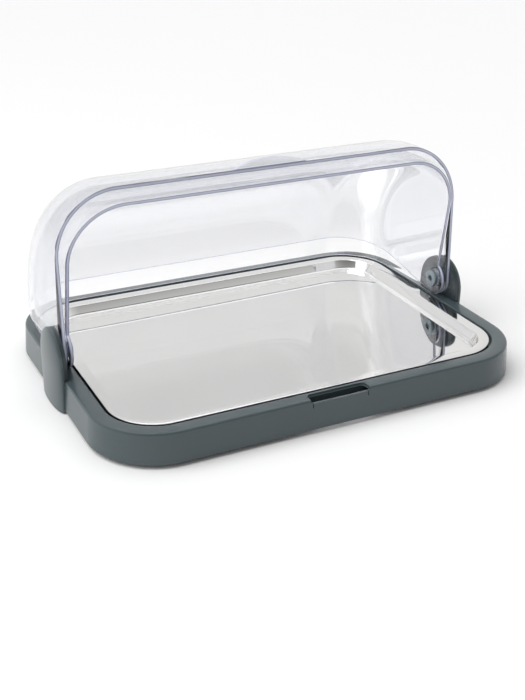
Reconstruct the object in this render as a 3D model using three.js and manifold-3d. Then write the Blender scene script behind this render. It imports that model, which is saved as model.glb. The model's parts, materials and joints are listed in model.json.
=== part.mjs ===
import * as THREE from 'three';
import { mergeVertices } from 'three/addons/utils/BufferGeometryUtils.js';
import Module from 'manifold-3d';

// A refrigerated buffet display: a shallow base with two cool packs in it, a steel
// serving tray over them, and two clear roll-top hoods that turn on one axis.
// Lengths are in millimetres. +X is to the right, -Y is the front and +Z is up.
// Heights count from the lower edge of the base, which its feet lift off the table.

const wasm = await Module();
wasm.setup();

const { degToRad } = THREE.MathUtils;

// Clearances and facets
const clearance = 0.3;
const cutOverrun = 1;
const weldDistance = 0.0001;
const planCornerSteps = 8;
const hoodSteps = 72;
const hoodCornerSteps = 7;
const roundSteps = 20;
const smallRoundSteps = 12;
const filletSteps = 3;
const sheetBendSteps = 2;
const shapeArcSteps = 4;

// Base
const baseLength = 440;
const baseWidth = 320;
const baseHeight = 29.3;
const baseFlare = 2;
const baseCorner = 64.5;
const baseWall = 3;
const rimWidth = 15.4;
const rimFillet = 2.4;
const rimInnerRound = 0.8;
const floorHeight = 5.5;
const floorThickness = 2.5;
const ledgeDrop = 1.7;
const ledgeWidth = 5.3;
const grooveWidth = 3.3;
const grooveDepth = 5.5;
const dividerThickness = 3;
const dividerHeight = 7;
const dividerEndGap = 36;
const ribThickness = 2;
const ribRaise = 0.5;
const ribSpacingX = 64;
const ribSpacingY = 52;
const ribCountX = 5;
const ribCountY = 3;

// Finger scoop in the front rim
const scoopHalfWidth = 31;
const scoopReach = 12.2;
const scoopDepth = 3.3;
const scoopFall = 0.4;
const scoopBackRound = 1.5;
const scoopCorner = 5;
const slitWidth = 0.8;
const slitHeight = 4;
const slitDepth = 1.2;
const slitInset = 2;

// Feet
const standOff = 4;
const footRadius = 11;
const footInset = 55;
const footChamfer = 0.8;
const footBossWall = 2.7;

// Serving tray
const trayGap = 1.8;
const trayDrop = 0.5;
const traySheet = 0.9;
const flangeWidth = 11.8;
const wellDepth = 10;
const wellDraft = 4;
const wellFootRound = 3;
const wellEdgeRound = 1.5;
const hemRound = 1.2;
const hemDepth = 3;

// Cool packs
const packSideGap = 1.5;
const packInnerCorner = 14;
const packRound = 2;
const packGrooveWidth = 7;
const packGrooveDepth = 2.2;
const packGrooveMargin = 22;
const packGrooveCount = 3;
const notchLength = 26;
const notchWidth = 17;
const neckLength = 5;
const capInset = 0.5;
const capWall = 1.5;
const capLength = 8;

// Pivot axis of both hoods
const pivotRise = 18.3;
const hoodWall = 3;
const hoodBore = 5.3;

// Hinge ears
const earHalfWidth = 31;
const earCrown = 22.9;
const earDrop = 3.5;
const earShoulder = 2;
const earRise = 6.5;
const earSteps = 20;
const domeSteps = 5;
const coverWall = 2;
const pegRadius = 2.5;
const pegSpread = 16;
const pegHeight = 48;
const bracketGap = 0.5;
const bracketFlange = 2.2;
const bracketStep = 4.5;
const bracketThickness = 3.9;
const bracketWeb = 1.8;
const bracketRim = 2.5;
const bracketSill = 4;
const bracketBoss = 8;
const bracketBossLength = 5.2;
const bracketNose = 4.1;
const legHalfWidth = 18;
const legBottom = 4;
const legTop = 38;
const pilotRadius = 2;

// Bushes, washers and screws
const sideClearance = 0.6;
const washerThickness = 2.8;
const washerRadius = 9;
const bushFlangeRadius = 8.7;
const bushFlange = 2.5;
const bushRadius = 5;
const bushBore = 2;
const bushSinkRadius = 3.3;
const bushSinkDepth = 3;
const pivotHeadRadius = 3;
const pivotHeadHeight = 1.7;
const pivotShankRadius = 1.7;
const pivotShankReach = 4.2;
const bracketScrewHeight = 14;
const bracketScrewSpread = 14;
const bracketScrewHead = 3.2;
const bracketScrewHeadHeight = 2;
const bracketScrewShank = 1.5;
const bracketScrewHole = 1.8;
const bracketScrewGrip = 7;

// Front hood, the outer clear shell
const frontFootInset = 6.6;
const frontCorner = 61.7;
const frontCrownDrop = 20;
const frontCrownLean = degToRad(-11.7);
const frontCrownRise = degToRad(8.5);
const frontGripHalf = 40;
const frontGripReach = 8.5;
const gripThickness = 3;

// Rear hood, the inner clear shell
const rearFootInset = 11.3;
const rearCorner = 57;
const rearCrownDrop = 5;
const rearCrownLean = degToRad(8.6);
const rearDraft = 0.02;
const hoodCrownGap = 5;

// Places worked out from the sizes above
const pivotHeight = baseHeight + pivotRise;
const earHeight = pivotHeight + earCrown;
const ceilingHeight = baseHeight - baseWall;
const floorUnderside = floorHeight - floorThickness;
const grooveFloor = baseHeight - grooveDepth;
const ledgeHeight = baseHeight - ledgeDrop;
const ledgeInset = rimWidth + grooveWidth;
const pocketInset = ledgeInset + ledgeWidth;
const flangeInset = rimWidth + trayGap;
const flangeTop = baseHeight - trayDrop;
const wellInset = flangeInset + flangeWidth;
const wellFloor = flangeTop - wellDepth;
const seatDrop = pivotHeight - baseHeight - clearance;
const earFace = baseLength / 2 + clearance;
const noseFace = earFace - bracketNose;
const frontHalf = noseFace - sideClearance;
const washerFace = frontHalf - hoodWall - clearance;
const rearHalf = washerFace - washerThickness - clearance;
const bushFace = rearHalf - hoodWall - clearance;
const frontFoot = baseWidth / 2 - frontFootInset;
const rearFoot = baseWidth / 2 - rearFootInset;
const frontRadius = Math.hypot(frontFoot, seatDrop);
const rearTop = frontRadius - hoodWall - hoodCrownGap;

// The rear drum touches both the crown height and the foot: its centre lies this far
// below the pivot.
const rearCentreDrop =
  (rearFoot ** 2 + seatDrop ** 2 - rearTop ** 2) / (2 * (rearTop + seatDrop));
const rearRadius = rearTop + rearCentreDrop;

// The front hood opens until its crown edge rises towards the back by this angle, and
// there its heel rests on the rim.
const openAngle = Math.PI / 2 - frontCrownLean - frontCrownRise;
const heelRun = (frontCrownDrop * Math.cos(frontCrownRise) - seatDrop) / Math.sin(frontCrownRise);

// Solids and geometries

function flipWinding(corners) {
  for (let i = 0; i < corners.length; i += 3) {
    [corners[i + 1], corners[i + 2]] = [corners[i + 2], corners[i + 1]];
  }
}

function toSolid(geometry) {
  const bare = geometry.clone();
  bare.deleteAttribute('normal');
  bare.deleteAttribute('uv');
  const merged = mergeVertices(bare, weldDistance);
  const points = merged.attributes.position;
  const index = merged.index.array;
  const corners = [];
  const [a, b, c] = [new THREE.Vector3(), new THREE.Vector3(), new THREE.Vector3()];
  let volume = 0;
  for (let i = 0; i < index.length; i += 3) {
    const [p, q, r] = [index[i], index[i + 1], index[i + 2]];
    if (p === q || q === r || r === p) {
      continue;
    }
    corners.push(p, q, r);
    b.fromBufferAttribute(points, q).cross(c.fromBufferAttribute(points, r));
    volume += a.fromBufferAttribute(points, p).dot(b);
  }
  if (volume < 0) {
    flipWinding(corners);
  }
  const vertProperties = Float32Array.from(points.array);
  const triVerts = Uint32Array.from(corners);
  return new wasm.Manifold(new wasm.Mesh({ numProp: 3, vertProperties, triVerts }));
}

function toGeometry(solid) {
  const mesh = solid.getMesh();
  const geometry = new THREE.BufferGeometry();
  geometry.setAttribute('position', new THREE.BufferAttribute(mesh.vertProperties, 3));
  geometry.setIndex(new THREE.BufferAttribute(mesh.triVerts, 1));
  geometry.computeVertexNormals();
  return geometry;
}

function mirrored(geometry, x, y) {
  const copy = geometry.clone().scale(x, y, 1);
  flipWinding(copy.index.array);
  copy.computeVertexNormals();
  return copy;
}

function join(solids) {
  return solids.reduce((whole, solid) => whole.add(solid));
}

function box(x0, x1, y0, y1, z0, z1) {
  const geometry = new THREE.BoxGeometry(x1 - x0, y1 - y0, z1 - z0);
  return toSolid(geometry.translate((x0 + x1) / 2, (y0 + y1) / 2, (z0 + z1) / 2));
}

function prismUp(shape, z0, z1) {
  const settings = { depth: z1 - z0, bevelEnabled: false, curveSegments: shapeArcSteps };
  return new THREE.ExtrudeGeometry(shape, settings).translate(0, 0, z0);
}

// A shape drawn in Y and Z, extruded along X
function prismAcross(shape, x0, x1) {
  const settings = { depth: x1 - x0, bevelEnabled: false, curveSegments: shapeArcSteps };
  const axes = new THREE.Matrix4().makeBasis(
    new THREE.Vector3(0, 1, 0),
    new THREE.Vector3(0, 0, 1),
    new THREE.Vector3(1, 0, 0),
  );
  const geometry = new THREE.ExtrudeGeometry(shape, settings);
  return toSolid(geometry.applyMatrix4(axes).translate(x0, 0, 0));
}

function cylinderAcross(radius, x0, x1, y, z, steps) {
  const geometry = new THREE.CylinderGeometry(radius, radius, x1 - x0, steps);
  return toSolid(geometry.rotateZ(-Math.PI / 2).translate((x0 + x1) / 2, y, z));
}

function cylinderUp(radius, z0, z1, x, y, steps) {
  const geometry = new THREE.CylinderGeometry(radius, radius, z1 - z0, steps);
  return toSolid(geometry.rotateX(Math.PI / 2).translate(x, y, (z0 + z1) / 2));
}

// A profile of [place along X, radius] pairs, turned about the X axis
function turned(profile, steps) {
  const points = profile.map(([along, radius]) => new THREE.Vector2(radius, along));
  return toSolid(new THREE.LatheGeometry(points, steps).rotateZ(-Math.PI / 2));
}

// Skins a list of rings that have as many points each, and closes both ends with a
// fan from the ring's middle
function loft(rings) {
  const count = rings[0].length;
  const positions = rings.flatMap((ring) => ring.flatMap((point) => point.toArray()));
  const index = [];
  for (let i = 0; i + 1 < rings.length; i += 1) {
    for (let j = 0; j < count; j += 1) {
      const next = (j + 1) % count;
      const [low, high] = [i * count, (i + 1) * count];
      index.push(low + j, low + next, high + next);
      index.push(low + j, high + next, high + j);
    }
  }
  const middle = (ring) => {
    const sum = ring.reduce((total, point) => total.add(point), new THREE.Vector3());
    return sum.divideScalar(count);
  };
  const ends = [
    [0, middle(rings[0]), false],
    [(rings.length - 1) * count, middle(rings.at(-1)), true],
  ];
  for (const [start, centre, forward] of ends) {
    const hub = positions.length / 3;
    positions.push(...centre.toArray());
    for (let j = 0; j < count; j += 1) {
      const next = (j + 1) % count;
      const [from, to] = forward ? [j, next] : [next, j];
      index.push(start + from, start + to, hub);
    }
  }
  const geometry = new THREE.BufferGeometry();
  geometry.setAttribute('position', new THREE.Float32BufferAttribute(positions, 3));
  geometry.setIndex(index);
  return toSolid(geometry);
}

// Outlines

// The base's plan outline, moved inwards by an inset
function planRing(inset, z) {
  const radius = baseCorner - inset;
  const centreX = baseLength / 2 - baseCorner;
  const centreY = baseWidth / 2 - baseCorner;
  const ring = [];
  const signs = [[1, 1], [-1, 1], [-1, -1], [1, -1]];
  signs.forEach(([signX, signY], quarter) => {
    for (let i = 0; i <= planCornerSteps; i += 1) {
      const angle = (quarter + i / planCornerSteps) * Math.PI / 2;
      const x = signX * centreX + radius * Math.cos(angle);
      const y = signY * centreY + radius * Math.sin(angle);
      ring.push(new THREE.Vector3(x, y, z));
    }
  });
  return ring;
}

// A solid whose section at each height is the plan outline at that height's inset
function planSolid(profile) {
  return loft(profile.map(([inset, z]) => planRing(inset, z)));
}

// Rounds each inner corner of an open path of [inset, height] pairs
function roundedPath(corners, radii) {
  const path = [corners[0]];
  for (let i = 1; i + 1 < corners.length; i += 1) {
    const corner = new THREE.Vector2(...corners[i]);
    const back = new THREE.Vector2(...corners[i - 1]).sub(corner).normalize();
    const ahead = new THREE.Vector2(...corners[i + 1]).sub(corner).normalize();
    const halfAngle = Math.acos(THREE.MathUtils.clamp(back.dot(ahead), -1, 1)) / 2;
    const centre = back.clone().add(ahead).normalize();
    centre.multiplyScalar(radii[i - 1] / Math.sin(halfAngle)).add(corner);
    const tangent = radii[i - 1] / Math.tan(halfAngle);
    const start = corner.clone().addScaledVector(back, tangent).sub(centre);
    const end = corner.clone().addScaledVector(ahead, tangent).sub(centre);
    const turn = Math.atan2(start.cross(end), start.dot(end));
    for (let step = 0; step <= sheetBendSteps; step += 1) {
      const spoke = start.clone().rotateAround(new THREE.Vector2(), turn * step / sheetBendSteps);
      path.push(spoke.add(centre).toArray());
    }
  }
  path.push(corners.at(-1));
  return path;
}

// Moves an open path to its left, with mitred corners
function shiftedPath(path, distance) {
  const lefts = path.slice(1).map(([x, y], i) => {
    const along = new THREE.Vector2(x - path[i][0], y - path[i][1]).normalize();
    return new THREE.Vector2(-along.y, along.x);
  });
  return path.map(([x, y], i) => {
    const before = lefts[Math.max(i - 1, 0)];
    const after = lefts[Math.min(i, lefts.length - 1)];
    const mitre = before.clone().add(after).normalize();
    const reach = distance / mitre.dot(after);
    return [x + mitre.x * reach, y + mitre.y * reach];
  });
}

// Base

function skirtInset(z) {
  return -baseFlare * (1 - z / (baseHeight - rimFillet));
}

// The outside of the base, grown by a gap for the pieces that are cut to it
function baseBlank(gap, bottom) {
  const profile = [[skirtInset(bottom) - gap, bottom]];
  for (let i = 0; i <= filletSteps; i += 1) {
    const angle = (i / filletSteps) * Math.PI / 2;
    const inset = rimFillet - (rimFillet + gap) * Math.cos(angle);
    profile.push([inset, baseHeight - rimFillet + (rimFillet + gap) * Math.sin(angle)]);
  }
  return planSolid(profile);
}

// The hollow for the packs, with the groove and the ledge that the tray sits on
function packPocket() {
  return planSolid([
    [rimWidth - rimInnerRound, baseHeight + cutOverrun],
    [rimWidth - rimInnerRound, baseHeight],
    [rimWidth, baseHeight - rimInnerRound],
    [rimWidth, grooveFloor],
    [ledgeInset, grooveFloor],
    [ledgeInset, ledgeHeight],
    [pocketInset, ledgeHeight],
    [pocketInset, floorHeight],
  ]);
}

function fingerScoop() {
  const back = -baseWidth / 2 + scoopReach;
  const front = -baseWidth / 2 - baseFlare;
  const floor = baseHeight - scoopDepth;
  const top = baseHeight + cutOverrun;
  const section = new THREE.Shape();
  section.moveTo(front, top);
  section.lineTo(front, floor - scoopFall);
  section.lineTo(back - scoopBackRound, floor);
  section.absarc(back - scoopBackRound, floor + scoopBackRound, scoopBackRound, -Math.PI / 2, 0);
  section.lineTo(back, top);
  section.closePath();
  const plan = new THREE.Shape();
  plan.moveTo(-scoopHalfWidth, front);
  plan.lineTo(scoopHalfWidth, front);
  plan.absarc(scoopHalfWidth - scoopCorner, back - scoopCorner, scoopCorner, 0, Math.PI / 2);
  plan.absarc(-scoopHalfWidth + scoopCorner, back - scoopCorner, scoopCorner, Math.PI / 2, Math.PI);
  plan.closePath();
  const column = toSolid(prismUp(plan, floor - scoopFall, top));
  const slits = [-1, 1].map((side) => {
    const middle = side * (scoopHalfWidth - slitInset);
    const [low, high] = [floor - scoopFall - slitHeight, floor + cutOverrun];
    const face = -baseWidth / 2;
    return box(middle - slitWidth / 2, middle + slitWidth / 2, front, face + slitDepth, low, high);
  });
  return join([prismAcross(section, -scoopHalfWidth, scoopHalfWidth).intersect(column), ...slits]);
}

// What stays solid inside the underside: the walls of the pocket, of the scoop and of
// its slits, the foot bosses and the ribs
function undersideCores() {
  const reachX = baseLength / 2;
  const reachY = baseWidth / 2;
  const pocketWalls = planSolid([
    [rimWidth - baseWall, ceilingHeight + cutOverrun],
    [rimWidth - baseWall, grooveFloor - baseWall],
    [pocketInset - baseWall, grooveFloor - baseWall],
    [pocketInset - baseWall, floorUnderside],
  ]);
  const padHalf = scoopHalfWidth + baseWall;
  const padFloor = baseHeight - scoopDepth - scoopFall - slitHeight;
  const pad = box(-padHalf, padHalf, -reachY, -reachY + scoopReach, padFloor, baseHeight);
  const bosses = footPlaces().map(([x, y]) => {
    const radius = footRadius + clearance + footBossWall;
    return cylinderUp(radius, -cutOverrun, floorHeight, x, y, roundSteps);
  });
  const ribs = [];
  for (let i = 0; i < ribCountX; i += 1) {
    const x = (i - (ribCountX - 1) / 2) * ribSpacingX;
    ribs.push(box(x - ribThickness / 2, x + ribThickness / 2, -reachY, reachY, ribRaise, baseHeight));
  }
  for (let i = 0; i < ribCountY; i += 1) {
    const y = (i - (ribCountY - 1) / 2) * ribSpacingY;
    ribs.push(box(-reachX, reachX, y - ribThickness / 2, y + ribThickness / 2, ribRaise, baseHeight));
  }
  return join([pocketWalls, pad, ...bosses, ...ribs]);
}

function footPlaces() {
  return [[-1, -1], [1, -1], [-1, 1], [1, 1]].map(([signX, signY]) => {
    return [signX * (baseLength / 2 - footInset), signY * (baseWidth / 2 - footInset)];
  });
}

function screwPlaces() {
  return [-1, 1].flatMap((side) => [-1, 1].map((end) => [side, end * bracketScrewSpread]));
}

function baseTray() {
  const skirtHollow = planSolid([
    [skirtInset(-cutOverrun) + baseWall, -cutOverrun],
    [skirtInset(ceilingHeight) + baseWall, ceilingHeight],
  ]);
  const footPockets = footPlaces().map(([x, y]) => {
    return cylinderUp(footRadius + clearance, -cutOverrun, floorUnderside, x, y, roundSteps);
  });
  const screwHoles = screwPlaces().map(([side, y]) => {
    const outside = baseLength / 2 + baseFlare + cutOverrun;
    const inside = baseLength / 2 - baseWall - cutOverrun;
    const [x0, x1] = side < 0 ? [-outside, -inside] : [inside, outside];
    return cylinderAcross(bracketScrewHole, x0, x1, y, bracketScrewHeight, smallRoundSteps);
  });
  const dividerReach = baseWidth / 2 - pocketInset - dividerEndGap;
  const dividerHalf = dividerThickness / 2;
  const divider = box(
    -dividerHalf, dividerHalf, -dividerReach, dividerReach,
    floorHeight - floorThickness / 2, floorHeight + dividerHeight,
  );
  return baseBlank(0, 0)
    .subtract(packPocket())
    .subtract(skirtHollow.subtract(undersideCores()))
    .subtract(fingerScoop())
    .subtract(join([...footPockets, ...screwHoles]))
    .add(divider);
}

function foot() {
  const height = standOff + floorUnderside - clearance;
  const profile = [
    new THREE.Vector2(0, 0),
    new THREE.Vector2(footRadius - footChamfer, 0),
    new THREE.Vector2(footRadius, footChamfer),
    new THREE.Vector2(footRadius, height),
    new THREE.Vector2(0, height),
  ];
  return toSolid(new THREE.LatheGeometry(profile, roundSteps).rotateX(Math.PI / 2));
}

// Serving tray: one sheet with a sunk well, a flat flange and a hem turned down into
// the groove

function servingTray() {
  const wellFoot = wellInset + wellDraft;
  const upper = roundedPath(
    [
      [wellFoot + 2 * wellFootRound, wellFloor],
      [wellFoot, wellFloor],
      [wellInset, flangeTop],
      [flangeInset, flangeTop],
      [flangeInset, flangeTop - hemDepth],
    ],
    [wellFootRound, wellEdgeRound, hemRound],
  );
  const under = shiftedPath(upper, traySheet);
  return planSolid([...upper, ...under.reverse()]);
}

// Cool packs: blow-moulded slabs with grooves across both faces and a filler neck in
// the notch at one corner. The right one is modelled.

const packStart = dividerThickness / 2 + packSideGap;
const packEnd = baseLength / 2 - pocketInset - packSideGap;
const packReach = baseWidth / 2 - pocketInset - packSideGap;
const packLow = floorHeight + clearance;
const packHigh = wellFloor - traySheet - clearance;
const packMiddle = (packLow + packHigh) / 2;
const capRadius = (packHigh - packLow) / 2 - capInset;
const neckRadius = capRadius - capWall - clearance;
const neckX = packStart + notchLength / 2;
const neckFoot = -packReach + notchWidth;

function packOutline(inset) {
  const outer = baseCorner - pocketInset - packSideGap - inset;
  const inner = packInnerCorner - inset;
  const [x0, x1, y1] = [packStart + inset, packEnd - inset, packReach - inset];
  const notchEnd = packStart + notchLength - inset;
  const outline = new THREE.Shape();
  outline.moveTo(notchEnd + 2 * inset, -y1);
  outline.absarc(x1 - outer, -y1 + outer, outer, -Math.PI / 2, 0);
  outline.absarc(x1 - outer, y1 - outer, outer, 0, Math.PI / 2);
  outline.absarc(x0 + inner, y1 - inner, inner, Math.PI / 2, Math.PI);
  outline.lineTo(x0, neckFoot + inset);
  outline.lineTo(notchEnd + 2 * inset, neckFoot + inset);
  outline.closePath();
  return outline;
}

function coolPack() {
  const settings = {
    depth: packHigh - packLow - 2 * packRound,
    bevelEnabled: true,
    bevelThickness: packRound,
    bevelSize: packRound,
    bevelSegments: 1,
    curveSegments: shapeArcSteps,
  };
  const slab = new THREE.ExtrudeGeometry(packOutline(packRound), settings);
  const grooves = [];
  for (let i = 1; i <= packGrooveCount; i += 1) {
    const x = packStart + (packEnd - packStart) * i / (packGrooveCount + 1);
    const [x0, x1] = [x - packGrooveWidth / 2, x + packGrooveWidth / 2];
    const reach = packReach - packGrooveMargin;
    grooves.push(box(x0, x1, -reach, reach, packHigh - packGrooveDepth, packHigh + cutOverrun));
    grooves.push(box(x0, x1, -reach, reach, packLow - cutOverrun, packLow + packGrooveDepth));
  }
  const neck = new THREE.CylinderGeometry(neckRadius, neckRadius, 2 * neckLength, smallRoundSteps);
  return toSolid(slab.translate(0, 0, packLow + packRound))
    .subtract(join(grooves))
    .add(toSolid(neck.translate(neckX, neckFoot, packMiddle)));
}

function packCap() {
  const front = neckFoot - clearance;
  const mouth = neckFoot - neckLength - clearance;
  const shell = new THREE.CylinderGeometry(capRadius, capRadius, capLength, smallRoundSteps);
  const bore = new THREE.CylinderGeometry(
    neckRadius + clearance, neckRadius + clearance, front + cutOverrun - mouth, smallRoundSteps,
  );
  return toSolid(shell.translate(neckX, front - capLength / 2, packMiddle))
    .subtract(toSolid(bore.translate(neckX, (front + cutOverrun + mouth) / 2, packMiddle)));
}

// Hinge ears: a domed cover over a bracket that carries the pivot. The right ones are
// modelled.

// The ear's outline, upright sides under a half-round top, at this radius
function earRing(radius, x) {
  const ring = [new THREE.Vector3(x, radius, -earDrop)];
  for (let i = 0; i <= earSteps; i += 1) {
    const angle = Math.PI * i / earSteps;
    const z = earHeight - earHalfWidth + radius * Math.sin(angle);
    ring.push(new THREE.Vector3(x, radius * Math.cos(angle), z));
  }
  ring.push(new THREE.Vector3(x, -radius, -earDrop));
  return ring;
}

function earDome(inset, start) {
  const radius = earHalfWidth - inset;
  const rings = [earRing(radius, start)];
  for (let i = 0; i < domeSteps; i += 1) {
    const angle = Math.PI / 2 * i / domeSteps;
    const x = earFace + earShoulder + (earRise - inset) * Math.sin(angle);
    rings.push(earRing(radius * Math.cos(angle), x));
  }
  return loft(rings);
}

function hingeCover() {
  const hollow = earDome(coverWall, earFace - cutOverrun).subtract(
    box(0, baseLength, -earHalfWidth, earHalfWidth, -earDrop - cutOverrun, coverWall - earDrop),
  );
  const pegFoot = earFace + bracketWeb + clearance;
  const pegs = [-1, 1].map((side) => {
    const end = earFace + earShoulder + earRise;
    return cylinderAcross(pegRadius, pegFoot, end, side * pegSpread, pegHeight, smallRoundSteps);
  });
  const dome = earDome(0, earFace);
  return dome
    .subtract(hollow)
    .add(join(pegs).intersect(dome))
    .subtract(baseBlank(clearance, -clearance));
}

function hingeBracket() {
  const radius = earHalfWidth - coverWall - bracketGap;
  const outline = (inset, x0, x1) => loft([earRing(radius - inset, x0), earRing(radius - inset, x1)]);
  const sill = baseHeight + clearance;
  const plateEnd = earFace + bracketThickness;
  const above = box(0, baseLength, -earHalfWidth, earHalfWidth, sill, earHeight);
  const plate = outline(0, earFace, earFace + bracketFlange)
    .add(outline(bracketStep, earFace, plateEnd))
    .intersect(above);
  const dish = outline(bracketStep + bracketRim, earFace + bracketWeb, plateEnd + cutOverrun).intersect(
    box(0, baseLength, -earHalfWidth, earHalfWidth, sill + bracketSill, earHeight),
  );
  const bossEnd = earFace + bracketBossLength;
  const boss = cylinderAcross(bracketBoss, noseFace, bossEnd, 0, pivotHeight, roundSteps);
  const leg = box(earFace, bossEnd, -legHalfWidth, legHalfWidth, legBottom, legTop);
  const pilot = cylinderAcross(
    pilotRadius, noseFace - cutOverrun, bossEnd + cutOverrun, 0, pivotHeight, smallRoundSteps,
  );
  const screwHoles = [-1, 1].map((side) => {
    return cylinderAcross(
      bracketScrewHole, earFace, bossEnd + cutOverrun,
      side * bracketScrewSpread, bracketScrewHeight, smallRoundSteps,
    );
  });
  return plate
    .subtract(dish)
    .add(boss)
    .add(leg)
    .subtract(join([pilot, ...screwHoles]))
    .subtract(baseBlank(clearance, -cutOverrun));
}

// Pivot pieces, turned about the pivot axis

function pivotBush() {
  const end = noseFace - clearance;
  const flangeStart = bushFace - bushFlange;
  const sink = flangeStart + bushSinkDepth;
  return turned(
    [
      [flangeStart, bushSinkRadius],
      [flangeStart, bushFlangeRadius],
      [bushFace, bushFlangeRadius],
      [bushFace, bushRadius],
      [end, bushRadius],
      [end, bushBore],
      [sink, bushBore],
      [sink, bushSinkRadius],
      [flangeStart, bushSinkRadius],
    ],
    roundSteps,
  );
}

function spacerWasher() {
  const inner = washerFace - washerThickness;
  return turned(
    [
      [inner, hoodBore],
      [inner, washerRadius],
      [washerFace, washerRadius],
      [washerFace, hoodBore],
      [inner, hoodBore],
    ],
    roundSteps,
  );
}

function pivotScrew() {
  const seat = bushFace - bushFlange + bushSinkDepth - clearance;
  return turned(
    [
      [seat - pivotHeadHeight, 0],
      [seat - pivotHeadHeight, pivotHeadRadius],
      [seat, pivotHeadRadius],
      [seat, pivotShankRadius],
      [earFace + pivotShankReach, pivotShankRadius],
      [earFace + pivotShankReach, 0],
    ],
    smallRoundSteps,
  );
}

// Bracket screws, driven outwards from inside the skirt
function bracketScrew() {
  const seat = baseLength / 2 - skirtInset(bracketScrewHeight) - baseWall - clearance;
  return turned(
    [
      [seat - bracketScrewHeadHeight, 0],
      [seat - bracketScrewHeadHeight, bracketScrewHead],
      [seat, bracketScrewHead],
      [seat, bracketScrewShank],
      [seat + bracketScrewGrip, bracketScrewShank],
      [seat + bracketScrewGrip, 0],
    ],
    smallRoundSteps,
  );
}

// Hoods. Each is modelled closed over the rear half, about the pivot axis: a drum of
// clear plastic with rounded ends, cut along a foot edge and a crown edge that pass
// near the pivot, with a round lobe at the pivot itself.

function drum(hood, inset) {
  const radius = hood.radius - inset;
  const half = hood.halfWidth - inset;
  const corner = hood.corner - inset;
  const centreR = radius - corner;
  const centreW = half - hood.draft * (centreR - hood.flat) - corner * Math.hypot(1, hood.draft);
  const side = hood.flat > 0 ? [[hood.flat, half]] : [];
  for (let j = 0; j <= hoodCornerSteps; j += 1) {
    const turn = Math.atan2(1, hood.draft) * (1 - j / hoodCornerSteps);
    side.push([centreR + corner * Math.cos(turn), centreW + corner * Math.sin(turn)]);
  }
  const column = [...side, ...side.map(([r, w]) => [r, -w]).reverse()];
  const columns = [];
  for (let i = 0; i < hoodSteps; i += 1) {
    const angle = 2 * Math.PI * i / hoodSteps;
    columns.push(column.flatMap(([r, w]) => {
      return [w, r * Math.cos(angle), r * Math.sin(angle) - hood.centreDrop];
    }));
  }
  const count = columns[0].length / 3;
  const positions = [half, 0, -hood.centreDrop, -half, 0, -hood.centreDrop, ...columns.flat()];
  const index = [];
  for (let i = 0; i < hoodSteps; i += 1) {
    const here = 2 + i * count;
    const next = 2 + ((i + 1) % hoodSteps) * count;
    index.push(0, here, next);
    for (let j = 0; j + 1 < count; j += 1) {
      index.push(here + j, here + j + 1, next + j + 1);
      index.push(here + j, next + j + 1, next + j);
    }
    index.push(1, next + count - 1, here + count - 1);
  }
  const geometry = new THREE.BufferGeometry();
  geometry.setAttribute('position', new THREE.Float32BufferAttribute(positions, 3));
  geometry.setIndex(index);
  return toSolid(geometry);
}

// A point beside the pivot: a run along a line at this angle, which passes the pivot
// at an offset to the left
function edgePoint(angle, offset, run) {
  const along = new THREE.Vector2(Math.cos(angle), Math.sin(angle));
  const left = new THREE.Vector2(-along.y, along.x);
  return along.multiplyScalar(run).addScaledVector(left, offset);
}

function hoodSection(hood) {
  const far = 2 * hood.radius;
  const crownAngle = Math.PI / 2 + hood.crownLean;
  const heel = edgePoint(crownAngle, hood.crownDrop, hood.heelRun);
  const points = [
    new THREE.Vector2(),
    new THREE.Vector2(0, -seatDrop),
    new THREE.Vector2(far, -seatDrop),
    new THREE.Vector2(far, far),
    edgePoint(crownAngle, hood.crownDrop, far),
    heel,
  ];
  if (heel.length() > seatDrop + clearance) {
    const turn = heel.angle() + Math.acos(seatDrop / heel.length());
    points.push(edgePoint(turn, 0, seatDrop));
  }
  const reach = hood.halfWidth + cutOverrun;
  return prismAcross(new THREE.Shape(points), -reach, reach)
    .add(cylinderAcross(seatDrop, -reach, reach, 0, 0, 2 * roundSteps));
}

// The lens-shaped finger grip that stands out from the front hood's foot edge
function gripPlate() {
  const radius = (frontGripHalf ** 2 + frontGripReach ** 2) / (2 * frontGripReach);
  const turn = Math.acos(frontGripHalf / radius);
  const outline = new THREE.Shape();
  outline.moveTo(-frontGripHalf, frontFoot - hoodWall / 2);
  outline.lineTo(frontGripHalf, frontFoot - hoodWall / 2);
  outline.absarc(0, frontFoot + frontGripReach - radius, radius, turn, Math.PI - turn);
  outline.closePath();
  return toSolid(prismUp(outline, -seatDrop, gripThickness - seatDrop));
}

function clearHood(hood) {
  const bores = cylinderAcross(
    hoodBore, -hood.halfWidth - cutOverrun, hood.halfWidth + cutOverrun, 0, 0, roundSteps,
  );
  return drum(hood, 0)
    .subtract(drum(hood, hoodWall))
    .intersect(hoodSection(hood))
    .subtract(bores);
}

const frontShape = {
  radius: frontRadius,
  centreDrop: 0,
  halfWidth: frontHalf,
  corner: frontCorner,
  flat: 0,
  draft: 0,
  crownDrop: frontCrownDrop,
  crownLean: frontCrownLean,
  heelRun,
};

const rearShape = {
  radius: rearRadius,
  centreDrop: rearCentreDrop,
  halfWidth: rearHalf,
  corner: rearCorner,
  flat: seatDrop + rearCentreDrop,
  draft: rearDraft,
  crownDrop: rearCrownDrop,
  crownLean: rearCrownLean,
  heelRun: Math.sqrt(seatDrop ** 2 - rearCrownDrop ** 2),
};

// Materials

function material(color, roughness, metalness) {
  return new THREE.MeshStandardMaterial({ color, roughness, metalness });
}

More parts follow.
